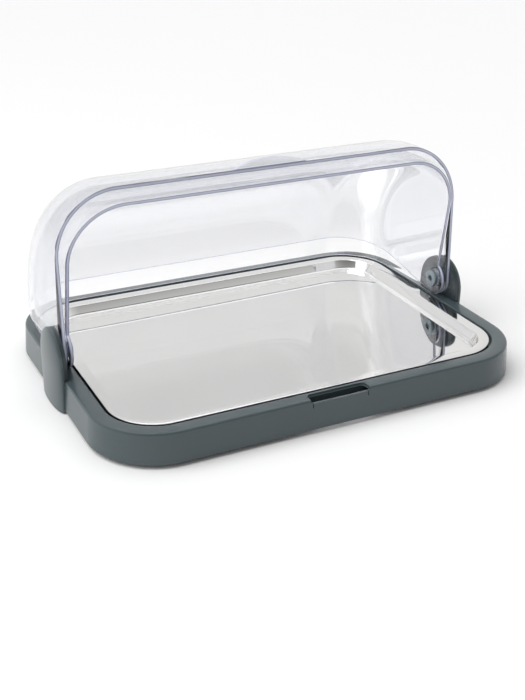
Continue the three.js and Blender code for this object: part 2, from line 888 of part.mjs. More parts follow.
const basePlastic = material(0x58636a, 0.45, 0);
const earPlastic = material(0x6d7678, 0.4, 0);
const bracketPlastic = material(0x4a5255, 0.5, 0);
const bushPlastic = material(0xd9dcdc, 0.35, 0);
const steelSheet = material(0xc9c8c4, 0.18, 1);
const screwSteel = material(0xb9bcbf, 0.3, 1);
const footRubber = material(0x2a2c2d, 0.9, 0);
const packPlastic = material(0x2f7fc2, 0.4, 0);
const capPlastic = material(0xe8eaeb, 0.4, 0);
const clearPlastic = material(0xdfe4ee, 0.05, 0);
clearPlastic.transparent = true;
clearPlastic.opacity = 0.25;

// Assembly

const body = new THREE.Group();
body.position.z = standOff;

function addPiece(parent, name, geometry, surface) {
  const mesh = new THREE.Mesh(geometry, surface);
  mesh.name = name;
  parent.add(mesh);
  return mesh;
}

// Adds the right piece as modelled and the left one as its mirror image
function addPair(parent, name, solid, surface) {
  const right = toGeometry(solid);
  addPiece(parent, `${name}_right`, right, surface);
  addPiece(parent, `${name}_left`, mirrored(right, -1, 1), surface);
}

addPiece(body, 'base_tray', toGeometry(baseTray()), basePlastic);
addPiece(body, 'serving_tray', toGeometry(servingTray()), steelSheet);
addPair(body, 'cool_pack', coolPack(), packPlastic);
addPair(body, 'pack_cap', packCap(), capPlastic);
addPair(body, 'hinge_bracket', hingeBracket(), bracketPlastic);
addPair(body, 'hinge_cover', hingeCover(), earPlastic);

footPlaces().forEach(([x, y]) => {
  const name = `foot_${y < 0 ? 'front' : 'rear'}_${x < 0 ? 'left' : 'right'}`;
  addPiece(body, name, toGeometry(foot()), footRubber).position.set(x, y, -standOff);
});

screwPlaces().forEach(([side, y]) => {
  const geometry = toGeometry(bracketScrew());
  const placed = side < 0 ? mirrored(geometry, -1, 1) : geometry;
  const name = `bracket_screw_${y < 0 ? 'front' : 'rear'}_${side < 0 ? 'left' : 'right'}`;
  addPiece(body, name, placed, screwSteel).position.set(0, y, bracketScrewHeight);
});

const pivot = new THREE.Group();
pivot.position.z = pivotHeight;
body.add(pivot);

addPair(pivot, 'pivot_bush', pivotBush(), bushPlastic);
addPair(pivot, 'spacer_washer', spacerWasher(), bushPlastic);
addPair(pivot, 'pivot_screw', pivotScrew(), screwSteel);

addPiece(pivot, 'rear_hood', toGeometry(clearHood(rearShape)), clearPlastic);

const frontSolid = clearHood(frontShape).add(gripPlate());
const frontGeometry = mirrored(toGeometry(frontSolid), 1, -1);
addPiece(pivot, 'front_hood', frontGeometry, clearPlastic).rotation.x = -openAngle;

const display = new THREE.Group();
display.add(body);

export default display;
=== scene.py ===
import json
import math
from typing import NamedTuple

import bpy
from bpy.props import FloatProperty, FloatVectorProperty, PointerProperty
from mathutils import Matrix, Vector


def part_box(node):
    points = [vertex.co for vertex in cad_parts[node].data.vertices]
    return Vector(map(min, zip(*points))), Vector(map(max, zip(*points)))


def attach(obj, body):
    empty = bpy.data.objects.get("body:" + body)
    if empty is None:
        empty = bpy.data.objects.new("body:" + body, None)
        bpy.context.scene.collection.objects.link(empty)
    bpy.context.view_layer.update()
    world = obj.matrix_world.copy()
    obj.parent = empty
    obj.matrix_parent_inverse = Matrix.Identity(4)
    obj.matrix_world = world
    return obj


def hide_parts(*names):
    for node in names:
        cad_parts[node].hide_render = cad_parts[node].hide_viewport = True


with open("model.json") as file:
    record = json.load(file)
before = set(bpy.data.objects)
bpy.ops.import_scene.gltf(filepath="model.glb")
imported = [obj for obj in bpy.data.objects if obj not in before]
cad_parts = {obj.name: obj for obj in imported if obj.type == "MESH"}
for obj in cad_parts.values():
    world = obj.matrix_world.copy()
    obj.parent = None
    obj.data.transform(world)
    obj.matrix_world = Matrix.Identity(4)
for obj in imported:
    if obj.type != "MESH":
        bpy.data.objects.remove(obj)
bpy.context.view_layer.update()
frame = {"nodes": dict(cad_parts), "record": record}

bl_info = {
    "name": "Chilled Buffet Display",
    "version": (1, 0, 0),
    "blender": (4, 5, 0),
    "location": "View3D > Sidebar > Display",
    "description": "Dresses a chilled buffet display: base, tray, hoods, ears and studio",
    "category": "Add Mesh",
}

MM = 0.001

# How far a cutting shape runs past what it cuts, how far two joined shapes lap, and how near a
# corner has to be to a place to count as lying there
OVERRUN, LAP, NEAR = 5 * MM, 1 * MM, 1 * MM

BEVEL_ANGLE = math.radians(50)
SMOOTH_ANGLE = math.radians(32)
CORNER_SEGMENTS = 28
EDGE_SEGMENTS = 2
ROUND_STEPS = 5
DOME_STEPS = 14

# How far past the lobe a crown edge's heel has to lie to be drawn as a corner of its own
HEEL_CLEAR = 0.3 * MM

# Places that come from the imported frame
BASE_LOW, BASE_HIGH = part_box("base_tray")
TRAY_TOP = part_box("serving_tray")[1].z
REAR_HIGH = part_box("rear_hood")[1]
FRONT_LOW, FRONT_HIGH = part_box("front_hood")
EAR_LOW, EAR_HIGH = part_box("hinge_cover_right")
BUSH_LOW, BUSH_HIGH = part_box("pivot_bush_right")
WASHER_LOW, WASHER_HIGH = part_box("spacer_washer_right")
BRACKET_LOW, BRACKET_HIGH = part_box("hinge_bracket_right")
HINGES = {joint["name"]: joint for joint in frame["record"]["behaviour"]["joints"]}
PIVOT = Vector(HINGES["front_hood_turn"]["pos_m"])
OPEN_ANGLE = math.radians(HINGES["front_hood_turn"]["range_deg"][1])
SEAT_DROP = PIVOT.z - FRONT_LOW.z

# Heights of two centres: the ears' tops and the rear drum rise over theirs by their half width
EAR_ARCH = EAR_HIGH.z - EAR_HIGH.y
REAR_AXIS = REAR_HIGH.z - REAR_HIGH.y

# Small sizes under the base
RIB_HALF, RIB_RISE, RIB_END = 1 * MM, 0.5 * MM, 4 * MM
CROSS_RIB_PITCH, LONG_RIB_PITCH = 64 * MM, 52 * MM
CUP_LIP = 0.3 * MM
DIVIDER_HALF, DIVIDER_HEIGHT, DIVIDER_END = 1.5 * MM, 7 * MM, 62 * MM


def length(name, description, millimetres):
    """A size that can't be negative, given in millimetres."""
    return FloatProperty(
        name=name, description=description, default=millimetres * MM, min=0, unit="LENGTH")


def angle(name, description, degrees):
    """An angle, given in degrees."""
    return FloatProperty(
        name=name, description=description, default=math.radians(degrees), subtype="ANGLE")


def colour(name, description, *levels):
    """A colour, given as its red, green and blue levels."""
    return FloatVectorProperty(
        name=name, description=description, default=levels, subtype="COLOR", min=0, max=1)


class BaseSizes(bpy.types.PropertyGroup):
    """Sizes of the base"""

    flare: length("Flare", "How far the skirt spreads at its foot", 2)
    corner: length("Corner radius", "Plan radius of the rim's outer corners", 64.5)
    wall: length("Wall", "Thickness of the moulded wall", 3)
    rim_width: length("Rim width", "Width of the flat rim", 15.4)
    rim_fillet: length("Rim fillet", "Round along the rim's outer edge", 2.4)
    rim_inner_round: length("Inner round", "Round along the rim's inner edge", 0.8)
    groove_width: length("Groove width", "Width of the groove that takes the tray's hem", 3.3)
    groove_depth: length("Groove depth", "Depth of that groove below the rim", 5.5)
    ledge_drop: length("Ledge drop", "Depth of the tray's ledge below the rim", 1.7)
    ledge_width: length("Ledge width", "Width of the tray's ledge", 5.3)
    floor_height: length("Floor height", "Height of the pocket's floor over the lower edge", 5.5)
    floor_thickness: length("Floor thickness", "Thickness of the pocket's floor", 2.5)
    scoop_half_width: length("Scoop half width", "Half the length of the finger scoop", 31)
    scoop_reach: length("Scoop reach", "How far the scoop runs into the rim", 12.2)
    scoop_depth: length("Scoop depth", "Depth of the scoop below the rim", 3.3)
    scoop_corner: length("Scoop corner", "Round of the scoop's rear corners", 5)
    scoop_foot: length("Scoop foot", "Round along the scoop's floor", 1.5)
    slit_inset: length("Slit inset", "Distance of the slits from the scoop's ends", 2)
    slit_half: length("Slit half width", "Half the width of the slits", 0.4)
    slit_depth: length("Slit depth", "Depth of the slits below the scoop's floor", 4.4)
    slit_reach: length("Slit reach", "How far the slits run into the skirt", 1.2)


class TraySizes(bpy.types.PropertyGroup):
    """Sizes of the serving tray"""

    inset: length("Inset", "Distance of the hem from the base's outline", 17.8)
    sheet: length("Sheet", "Thickness of the steel sheet", 0.9)
    flange: length("Flange", "Width of the flat flange", 11.2)
    well_depth: length("Well depth", "Depth of the sunk well", 10)
    well_draft: length("Well draft", "How far the well narrows towards its floor", 4)
    hem_depth: length("Hem depth", "Depth of the hem below the flange", 3)
    hem_round: length("Hem round", "Round where the flange turns down to the hem", 0.7)
    well_round: length("Well round", "Round where the flange turns down to the well", 1.5)
    foot_round: length("Foot round", "Round along the well's floor", 3)


class HoodSizes(bpy.types.PropertyGroup):
    """Sizes of the two clear hoods"""

    wall: length("Wall", "Wall thickness of the clear shells", 3)
    edge_round: length("Edge round", "Round along the free edges", 0.15)
    # Width of the painted shade lines along the hoods' cut edges
    edge_line: length("Edge line", "Width of the darker lines along the cut edges", 0.7)
    bore: length("Bore", "Radius of the pivot hole", 5.3)
    front_corner: length("Front corner", "Round of the front hood's ends", 61.7)
    front_crown_drop: length("Front crown drop", "Distance of its crown edge from the pivot", 20)
    front_crown_lean: angle("Front crown lean", "Lean of that edge when closed", -11.7)
    grip_half: length("Grip half length", "Half the length of the finger grip", 40)
    grip_reach: length("Grip reach", "How far the grip stands out", 8.5)
    rear_corner: length("Rear corner", "Round of the rear hood's ends", 57)
    rear_crown_drop: length("Rear crown drop", "Distance of its crown edge from the pivot", 5)
    rear_crown_lean: angle("Rear crown lean", "Lean of that edge", 8.6)
    rear_draft: FloatProperty(
        name="Rear draft", description="Slope of the rear hood's side walls",
        default=0.02, min=0, max=0.2)


class EarSizes(bpy.types.PropertyGroup):
    """Sizes of the hinge ears"""

    shoulder: length("Shoulder", "Depth of the ear's upright side before the dome", 2)
    wall: length("Wall", "Wall thickness of the cover", 2)
    gap: length("Gap", "Gap between the cover and the base", 0.3)
    plate_inset: length("Plate inset", "How far the plate stands inside the ear's outline", 0.4)
    frame_inset: length("Frame inset", "How far the frame stands inside that outline", 7)
    boss: length("Boss", "Radius of the boss that carries the pivot", 8)
    pilot: length("Pilot hole", "Radius of the pivot screw's hole", 2)
    leg_half: length("Leg half width", "Half the width of the bracket's leg", 18)
    leg_top: length("Leg top", "Height of the leg's top", 42)
    edge_round: length("Edge round", "Round along the bracket's edges", 0.4)


class PivotSizes(bpy.types.PropertyGroup):
    """Sizes of the bushes and washers"""

    body: length("Bush body", "Radius of the bush's body", 5)
    flange: length("Flange", "Thickness of the bush's flange", 2.5)
    sink: length("Sink", "Radius of the sink for the screw's head", 3.3)
    sink_depth: length("Sink depth", "Depth of that sink", 3)
    hole: length("Screw hole", "Radius of the hole for the screw", 2)
    edge_round: length("Edge round", "Round along the bush's and the washer's edges", 0.3)


class FinishColours(bpy.types.PropertyGroup):
    """Colours of the finishes"""

    base: colour("Base", "Anthracite of the base", 0.058, 0.079, 0.086)
    ear: colour("Ears", "Anthracite of the hinge covers", 0.072, 0.092, 0.098)
    # The brackets are darker than the ear covers to paint the shade on the ears' inner plates and
    # sides
    bracket: colour("Brackets", "Anthracite of the hinge brackets", 0.035, 0.048, 0.054)
    bush: colour("Bushes", "Grey of the bushes and washers", 0.26, 0.31, 0.345)
    steel: colour("Tray", "Tone of the polished steel", 0.74, 0.735, 0.72)
    # The hem's dark tone is painted shade of the gap between the tray and the base's rim, not a tone
    # of the steel
    hem: colour("Tray hem", "Tone of the tray's unpolished hem", 0.10, 0.11, 0.12)
    screw: colour("Screws", "Tone of the darkened screws", 0.10, 0.10, 0.11)
    rubber: colour("Feet", "Black of the rubber feet", 0.03, 0.032, 0.034)
    pack: colour("Cool packs", "Blue of the cool packs", 0.07, 0.25, 0.52)
    cap: colour("Pack caps", "White of the pack caps", 0.8, 0.82, 0.83)
    clear: colour("Hoods", "Tint of the clear plastic", 0.976, 0.977, 0.983)
    clear_rim: colour("Hood outline", "Tint of the hoods seen edge on", 0.86, 0.875, 0.935)
    # The cut edges' lavender is partly the plastic's own tint and partly painted shade for the
    # darkening that refraction gives the edges; the edge lines below are painted shade along both
    # sides of those edges
    edge: colour("Hood edges", "Lavender tint of the cut edges", 0.74, 0.76, 0.90)
    edge_line: colour("Edge lines", "Darker tint along the cut edges", 0.38, 0.41, 0.60)


class StudioSettings(bpy.types.PropertyGroup):
    """Camera and floor"""

    azimuth: angle("Azimuth", "Camera's turn to the left of the front", -26.756)
    elevation: angle("Elevation", "Camera's height over the horizon", 26.339)
    roll: angle("Roll", "Camera's roll", 0.79)
    distance: length("Distance", "Camera's distance", 1132.986)
    aim_left: length("Aim left", "How far left of the middle the camera aims", 0.501)
    aim_up: length("Aim up", "How far over the base's foot the camera aims", 2.085)
    lens: FloatProperty(
        name="Lens", description="Focal length in mm on a 36 mm sensor", default=56.08, min=10)
    floor: colour("Floor", "Pale tone of the floor", 0.93, 0.93, 0.93)


# Tools for shaping a piece


def set_mode(mode):
    bpy.ops.object.mode_set(mode=mode)


def clear_selection():
    """Leaves edit mode and deselects everything."""
    active = bpy.context.view_layer.objects.active
    if active and active.mode != "OBJECT":
        set_mode("OBJECT")
    bpy.ops.object.select_all(action="DESELECT")


def select_only(piece):
    clear_selection()
    piece.select_set(True)
    bpy.context.view_layer.objects.active = piece


def edit_all(piece):
    """Opens the piece in edit mode with all of it selected."""
    select_only(piece)
    set_mode("EDIT")
    bpy.ops.mesh.select_all(action="SELECT")


def pick(piece, kind, wanted):
    """Opens the piece in edit mode with the wanted vertices, edges or faces selected."""
    select_only(piece)
    set_mode("EDIT")
    bpy.ops.mesh.select_mode(type=kind)
    bpy.ops.mesh.select_all(action="DESELECT")
    set_mode("OBJECT")
    mesh = piece.data
    for element in {"VERT": mesh.vertices, "EDGE": mesh.edges, "FACE": mesh.polygons}[kind]:
        element.select = wanted(element)
    set_mode("EDIT")


def ends(piece, edge):
    """The places of an edge's two ends."""
    return [piece.data.vertices[i].co for i in edge.vertices]


def apply_place(piece):
    select_only(piece)
    bpy.ops.object.transform_apply(location=True, rotation=True, scale=True)


def settle(name, scale=(1, 1, 1)):
    """Names the primitive just added, and puts its place, turn and size into its mesh."""
    piece = bpy.context.object
    piece.name = name
    piece.scale = scale
    apply_place(piece)
    return piece


def add_cylinder(name, radius, start, end, vertices, height=PIVOT.z):
    """A cylinder along X between two places, on the pivot line or at another height."""
    clear_selection()
    bpy.ops.mesh.primitive_cylinder_add(
        vertices=vertices, radius=radius, depth=end - start,
        location=((start + end) / 2, 0, height), rotation=(0, math.pi / 2, 0))
    return settle(name)


def add_post(name, radius, low, high, x, y, vertices):
    """A cylinder along Z between two heights."""
    clear_selection()
    bpy.ops.mesh.primitive_cylinder_add(
        vertices=vertices, radius=radius, depth=high - low, location=(x, y, (low + high) / 2))
    return settle(name)


def add_block(name, low, high):
    """A block between two corners."""
    clear_selection()
    low, high = Vector(low), Vector(high)
    bpy.ops.mesh.primitive_cube_add(size=1, location=(low + high) / 2)
    return settle(name, high - low)


def arc(centre, radius, start, end, steps):
    """Pairs of places round a centre, from one angle to another in degrees."""
    turns = [math.radians(start + (end - start) * step / steps) for step in range(steps + 1)]
    return [
        (centre[0] + radius * math.cos(turn), centre[1] + radius * math.sin(turn))
        for turn in turns]


def follow_profile(profile, facing=1):
    """Steps the selected face inwards and along its normal through (inset, height) pairs."""
    for (inset, height), (next_inset, next_height) in zip(profile, profile[1:]):
        bpy.ops.mesh.inset(
            thickness=max(next_inset - inset, 0), depth=(next_height - height) * facing)
    set_mode("OBJECT")


def extrude(step):
    bpy.ops.mesh.extrude_region_move(TRANSFORM_OT_translate={"value": step})


def close_openings(piece, bridge=False):
    """Fills the piece's open outlines, or bridges two of them, and turns its faces outwards."""
    select_only(piece)
    set_mode("EDIT")
    bpy.ops.mesh.select_mode(type="EDGE")
    bpy.ops.mesh.select_all(action="DESELECT")
    bpy.ops.mesh.select_non_manifold(
        extend=False, use_wire=False, use_boundary=True, use_multi_face=False,
        use_non_contiguous=False, use_verts=False)
    if bridge:
        bpy.ops.mesh.bridge_edge_loops()
    else:
        bpy.ops.mesh.edge_face_add()
    bpy.ops.mesh.select_all(action="SELECT")
    bpy.ops.mesh.normals_make_consistent(inside=False)
    set_mode("OBJECT")


def cut_away(piece, place, normal):
    """Bisects the piece and clears what lies on the normal's side."""
    edit_all(piece)
    bpy.ops.mesh.bisect(
        plane_co=place, plane_no=normal, use_fill=True, clear_outer=True, threshold=1e-6)
    set_mode("OBJECT")


def apply_modifier(piece, kind, **settings):
    """Gives the piece a modifier with these settings, and applies it."""
    select_only(piece)
    modifier = piece.modifiers.new(kind.title(), kind)
    for name, value in settings.items():
        setattr(modifier, name, value)
    bpy.ops.object.modifier_apply(modifier=modifier.name)


def combine(piece, tool, operation):
    """Applies a boolean of the tool to the piece, and takes the tool away."""
    apply_modifier(piece, "BOOLEAN", operation=operation, solver="EXACT", object=tool)
    bpy.data.objects.remove(tool)


def thicken(piece, wall):
    """Gives the piece's skin a wall on its inner side."""
    apply_modifier(piece, "SOLIDIFY", thickness=wall, offset=-1, use_even_offset=True)


def round_edges(piece, width, material_index=-1):
    """Rounds the sharp edges. The rounds keep their faces' finish unless another is given."""
    apply_modifier(
        piece, "BEVEL", width=width, segments=EDGE_SEGMENTS, limit_method="ANGLE",
        angle_limit=BEVEL_ANGLE, material=material_index)


def smooth(piece):
    select_only(piece)
    bpy.ops.object.shade_smooth_by_angle(angle=SMOOTH_ANGLE)


def join_pieces(piece, others):
    select_only(piece)
    for other in others:
        other.select_set(True)
    bpy.ops.object.join()


def own_copy(piece):
    """A copy of the piece with its own mesh."""
    select_only(piece)
    bpy.ops.object.duplicate()
    return bpy.context.object


def copy_by(piece, step):
    """A copy of the piece a step further on."""
    copy = own_copy(piece)
    copy.location = step
    apply_place(copy)
    return copy


def mirror_copy(piece, name):
    """A copy of the piece on the other side of the middle."""
    copy = own_copy(piece)
    copy.name = name
    copy.scale.x = -1
    apply_place(copy)
    edit_all(copy)
    bpy.ops.mesh.flip_normals()
    set_mode("OBJECT")
    return copy


def finish_piece(piece, body, slot, node):
    """Checks that the piece is closed, and gives it its finish, its body and its node."""
    uses = [0] * len(piece.data.edges)
    for loop in piece.data.loops:
        uses[loop.edge_index] += 1
    if not uses or 1 in uses:
        raise RuntimeError(f"{piece.name} isn't closed: {uses.count(1)} open edges")
    if not piece.data.materials:
        piece.data.materials.append(finish(slot))
    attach(piece, body)
    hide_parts(node)


def finish_pair(piece, left_name, slot, node):
    """Mirrors a right-hand piece of the base, and finishes both."""
    left = mirror_copy(piece, left_name)
    finish_piece(piece, "base", slot, node + "_right")
    finish_piece(left, "base", slot, node + "_left")


def give_finish(piece, index, wanted):
    """Gives the wanted faces the piece's finish at this index."""
    for face in piece.data.polygons:
        if wanted(face):
            face.material_index = index


# Finishes


class Grain(NamedTuple):
    """A finish with a fine grain, whose tone and roughness drift a little"""

    colour: str
    tone_drift: float
    roughness: tuple
    scale: float
    depth: float
    metallic: float = 0
    transmission: float = 0


GRAINS = {
    "base_plastic": Grain("base", 0.06, (0.2, 0.26), 1600, 0.05),
    "ear_plastic": Grain("ear", 0.05, (0.26, 0.32), 1500, 0.06),
    # Darker than the ear plastic: painted shade on the brackets' plates
    "bracket_plastic": Grain("bracket", 0.07, (0.3, 0.4), 1100, 0.15),
    "bush_plastic": Grain("bush", 0.05, (0.12, 0.2), 1300, 0.05),
    "foot_rubber": Grain("rubber", 0.2, (0.7, 0.85), 700, 0.6),
    "pack_plastic": Grain("pack", 0.08, (0.3, 0.4), 500, 0.35),
    "cap_plastic": Grain("cap", 0.02, (0.4, 0.5), 900, 0.2),
    "screw_steel": Grain("screw", 0.08, (0.22, 0.34), 2500, 0.1, metallic=1),
    # Dark steel on the tray's hem: painted shade of the gap around the tray
    "hem_steel": Grain("hem", 0.08, (0.3, 0.4), 1500, 0.1, metallic=1),
    # The hoods' cut edges in their own tint with painted shade, and painted shade lines along them
    "clear_edge": Grain("edge", 0.06, (0.12, 0.2), 900, 0.05, transmission=0.2),
    "clear_edge_line": Grain("edge_line", 0.06, (0.12, 0.2), 900, 0.05, transmission=0.2),
}
PLASTIC_IOR = 1.5

# The hoods' three finishes, and the places that they have on every hood: the clear skin, the cut
# edges in their own tint with painted shade, and painted shade lines along those edges
HOOD_FINISHES = ("clear_plastic", "clear_edge", "clear_edge_line")
SKIN, CUT_EDGE, EDGE_SHADE_LINE = range(3)

FINISHES = {}


def set_inputs(node, values):
    for name, value in values.items():
        node.inputs[name].default_value = value


def add_node(tree, kind, values=None, **settings):
    """Adds a shader node. Its settings come first, because they decide which inputs it has."""
    node = tree.nodes.new("ShaderNode" + kind)
    for name, value in settings.items():
        setattr(node, name, value)
    set_inputs(node, values or {})
    return node


def link_nodes(tree, *links):
    """Links sockets. Each link is a node, its output, the next node and its input."""
    for source, output, target, entry in links:
        tree.links.new(source.outputs[output], target.inputs[entry])


def tone_of(name, factor=1):
    """A finish's colour, made darker or lighter."""
    levels = getattr(bpy.context.scene.display_colours, name)
    return [min(level * factor, 1) for level in levels] + [1]


def moulded_grain_group():
    """Fine moulded grain and a slow drift, as a colour, a roughness and a normal."""
    name = "Moulded grain"
    if name in bpy.data.node_groups:
        return bpy.data.node_groups[name]
    group = bpy.data.node_groups.new(name, "ShaderNodeTree")
    for side, kind, sockets in (
            ("INPUT", "Float", ("Grain scale", "Grain depth", "Low roughness", "High roughness")),
            ("INPUT", "Color", ("Dark tone", "Light tone")),
            ("OUTPUT", "Color", ("Colour",)),
            ("OUTPUT", "Float", ("Roughness",)),
            ("OUTPUT", "Vector", ("Normal",))):
        for socket in sockets:
            group.interface.new_socket(socket, in_out=side, socket_type="NodeSocket" + kind)
    inputs = group.nodes.new("NodeGroupInput")
    outputs = group.nodes.new("NodeGroupOutput")
    place = add_node(group, "TexCoord")
    grain = add_node(group, "TexNoise", {"Detail": 3})
    drift = add_node(group, "TexNoise", {"Scale": 14, "Detail": 4})
    tone = add_node(group, "Mix", data_type="RGBA")
    sheen = add_node(group, "MapRange")
    bump = add_node(group, "Bump", {"Distance": 0.05 * MM})
    link_nodes(
        group,
        (place, "Object", grain, "Vector"),
        (place, "Object", drift, "Vector"),
        (inputs, "Grain scale", grain, "Scale"),
        (drift, "Fac", tone, "Factor"),
        (inputs, "Dark tone", tone, "A"),
        (inputs, "Light tone", tone, "B"),
        (drift, "Fac", sheen, "Value"),
        (inputs, "Low roughness", sheen, "To Min"),
        (inputs, "High roughness", sheen, "To Max"),
        (grain, "Fac", bump, "Height"),
        (inputs, "Grain depth", bump, "Strength"),
        (tone, "Result", outputs, "Colour"),
        (sheen, "Result", outputs, "Roughness"),
        (bump, "Normal", outputs, "Normal"))
    return group


def new_material(name):
    material = bpy.data.materials.new("finished_" + name)
    material.use_nodes = True
    return material, material.node_tree, material.node_tree.nodes["Principled BSDF"]


def finish(name):
    """The finish of this name, made when a piece first asks for it."""
    if name not in FINISHES:
        material, tree, shader = new_material(name)
        if name == "polished_steel":
            polish_steel(tree, shader)
        elif name == "clear_plastic":
            clear_plastic(tree, shader)
        else:
            grain_surface(tree, shader, GRAINS[name])
        FINISHES[name] = material
    return FINISHES[name]


def grain_surface(tree, shader, grain):
    effect = add_node(tree, "Group", node_tree=moulded_grain_group())
    set_inputs(effect, {
        "Grain scale": grain.scale,
        "Grain depth": grain.depth,
        "Dark tone": tone_of(grain.colour, 1 - grain.tone_drift),
        "Light tone": tone_of(grain.colour, 1 + grain.tone_drift),
        "Low roughness": grain.roughness[0],
        "High roughness": grain.roughness[1],
    })
    set_inputs(shader, {
        "Metallic": grain.metallic, "IOR": PLASTIC_IOR, "Transmission Weight": grain.transmission})
    link_nodes(
        tree,
        (effect, "Colour", shader, "Base Color"),
        (effect, "Roughness", shader, "Roughness"),
        (effect, "Normal", shader, "Normal"))


def polish_steel(tree, shader):
    """Mirror-polished sheet with faint rolling marks along its length."""
    set_inputs(shader, {"Metallic": 1})
    place = add_node(tree, "TexCoord")
    stretch = add_node(tree, "Mapping", {"Scale": (6, 900, 900)})
    marks = add_node(tree, "TexNoise", {"Scale": 1, "Detail": 2})
    drift = add_node(tree, "TexNoise", {"Scale": 9, "Detail": 3})
    tones = {"A": tone_of("steel", 0.96), "B": tone_of("steel", 1.03)}
    tone = add_node(tree, "Mix", tones, data_type="RGBA")
    gloss = add_node(tree, "MapRange", {"To Min": 0.015, "To Max": 0.05})
    bump = add_node(tree, "Bump", {"Strength": 0.012, "Distance": 0.02 * MM})
    link_nodes(
        tree,
        (place, "Object", stretch, "Vector"),
        (stretch, "Vector", marks, "Vector"),
        (place, "Object", drift, "Vector"),
        (drift, "Fac", tone, "Factor"),
        (tone, "Result", shader, "Base Color"),
        (drift, "Fac", gloss, "Value"),
        (gloss, "Result", shader, "Roughness"),
        (marks, "Fac", bump, "Height"),
        (bump, "Normal", shader, "Normal"))


def clear_plastic(tree, shader):
    """Clear moulded plastic. Its shadow is thin, as a clear sheet's is."""
    set_inputs(shader, {"IOR": PLASTIC_IOR, "Transmission Weight": 1})
    place = add_node(tree, "TexCoord")
    drift = add_node(tree, "TexNoise", {"Scale": 7, "Detail": 2})
    tones = {"A": tone_of("clear", 0.985), "B": tone_of("clear")}
    tone = add_node(tree, "Mix", tones, data_type="RGBA")
    rim = add_node(tree, "Mix", {"B": tone_of("clear_rim")}, data_type="RGBA")
    facing = add_node(tree, "LayerWeight", {"Blend": 0.25})
    gloss = add_node(tree, "MapRange", {"To Min": 0, "To Max": 0.02})
    path = add_node(tree, "LightPath")
    clearing = add_node(tree, "MapRange", {"To Min": 1, "To Max": 0.12})
    link_nodes(
        tree,
        (place, "Object", drift, "Vector"),
        (drift, "Fac", tone, "Factor"),
        (tone, "Result", rim, "A"),
        (facing, "Facing", rim, "Factor"),
        (rim, "Result", shader, "Base Color"),
        (drift, "Fac", gloss, "Value"),
        (gloss, "Result", shader, "Roughness"),
        (path, "Is Shadow Ray", clearing, "Value"),
        (clearing, "Result", shader, "Alpha"))


# Base


def base_outline(name, sizes, grow=0, height=BASE_LOW.z, facing=1):
    """A plate with the base's outline, grown or shrunk, left in edit mode, all selected."""
    clear_selection()
    bpy.ops.mesh.primitive_plane_add(size=1, location=(0, 0, height))
    span = BASE_HIGH - BASE_LOW
    plate = settle(name, (span.x + 2 * grow, span.y + 2 * grow, 1))
    edit_all(plate)
    bpy.ops.mesh.bevel(
        offset=sizes.corner + sizes.flare + grow, segments=CORNER_SEGMENTS, affect="VERTICES")
    if facing < 0:
        bpy.ops.mesh.flip_normals()
    return plate


def base_outer_profile(sizes):
    """The base's outside from its foot to the flat of its rim."""
    fillet = sizes.rim_fillet
    shoulder = BASE_HIGH.z - fillet
    return [(-sizes.flare, BASE_LOW.z)] + arc((fillet, shoulder), fillet, 180, 90, ROUND_STEPS)


